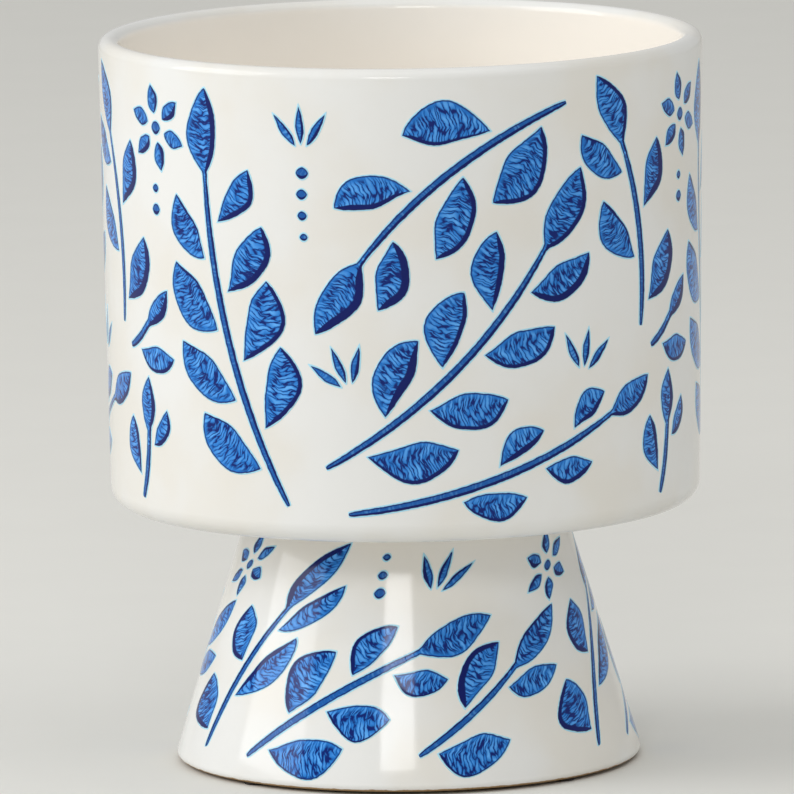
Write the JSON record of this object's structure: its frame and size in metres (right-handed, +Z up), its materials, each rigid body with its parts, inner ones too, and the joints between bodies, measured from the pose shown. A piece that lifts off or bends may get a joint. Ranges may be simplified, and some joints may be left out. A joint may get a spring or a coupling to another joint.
{
  "type": "jardiniere on stand",
  "caption": "Straight-sided glazed ceramic cover pot that sits loose on a hollow flared ceramic stand, with a round register between them and small pads under the foot.",
  "frame": {"origin": "on the stand's axis, in the plane that the foot pads rest on", "axes": "+Z up along the common axis of stand and pot, +Y away from the side the picture shows, +X to its right"},
  "size_m": [0.1998, 0.1998, 0.2424],
  "materials": {
    "pot_glaze": "gloss",
    "stand_glaze": "gloss",
    "foot_pad": "matte"
  },
  "bodies": {
    "stand": {"stand": "stand_glaze", "foot_pad_1": "foot_pad", "foot_pad_2": "foot_pad", "foot_pad_3": "foot_pad", "foot_pad_4": "foot_pad"},
    "jardiniere": {"jardiniere": "pot_glaze"}
  },
  "joints": [
    {"name": "jardiniere_lift", "type": "slide", "parent": "stand", "child": "jardiniere", "axis": [0, 0, 1], "range_m": [0, 0.12]}
  ]
}
